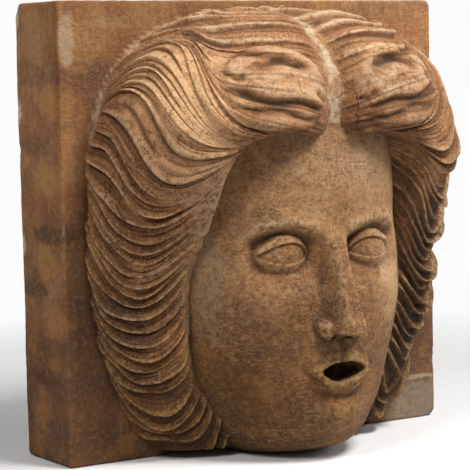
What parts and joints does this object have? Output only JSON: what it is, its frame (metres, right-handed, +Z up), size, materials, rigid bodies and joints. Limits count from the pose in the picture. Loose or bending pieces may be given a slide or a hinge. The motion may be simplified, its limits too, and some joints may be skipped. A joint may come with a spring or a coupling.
{
  "type": "carved stone mask block",
  "caption": "Square stone slab carved in high relief with a calm head in parted wavy hair, its open mouth bored for a spout",
  "frame": {"origin": "middle of the slab's flat underside, halfway through its thickness", "axes": "+Z up, the face looks along -Y, +X to the viewer's right"},
  "size_m": [0.5, 0.291, 0.5],
  "materials": {
    "stone": "weathered, matt, terracotta-brown stone with pale lime crust and dark grime in the grooves"
  },
  "bodies": {
    "root": {"mask_block": "stone"}
  },
  "joints": []
}
